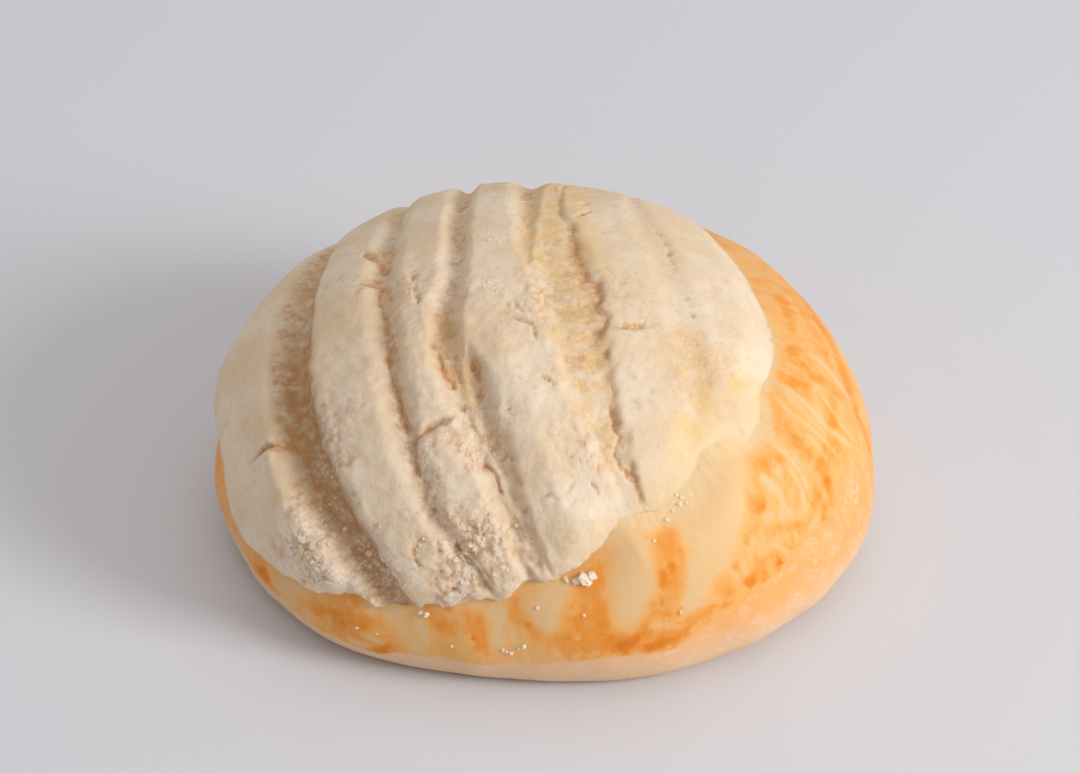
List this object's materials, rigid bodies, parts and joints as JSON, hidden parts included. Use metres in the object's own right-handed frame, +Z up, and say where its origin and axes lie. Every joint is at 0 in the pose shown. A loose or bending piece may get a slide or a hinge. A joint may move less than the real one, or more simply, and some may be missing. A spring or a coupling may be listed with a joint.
{
  "type": "concha",
  "caption": "Small domed sweet bun with a flat base and a thick scored sugar crust lying over its crown and one side.",
  "frame": {"origin": "middle of the flat base the bun rests on", "axes": "+X along the bun's long side, to the right as eaten from the front; +Y to the back; +Z up through the crown"},
  "size_m": [0.0865, 0.0783, 0.0409],
  "materials": {
    "bread": "egg-washed bread crust, satin",
    "sugar_paste": "baked sugar paste, matt and crumbly"
  },
  "bodies": {
    "root": {"bun": "bread", "sugar_crust": "sugar_paste"}
  },
  "joints": []
}
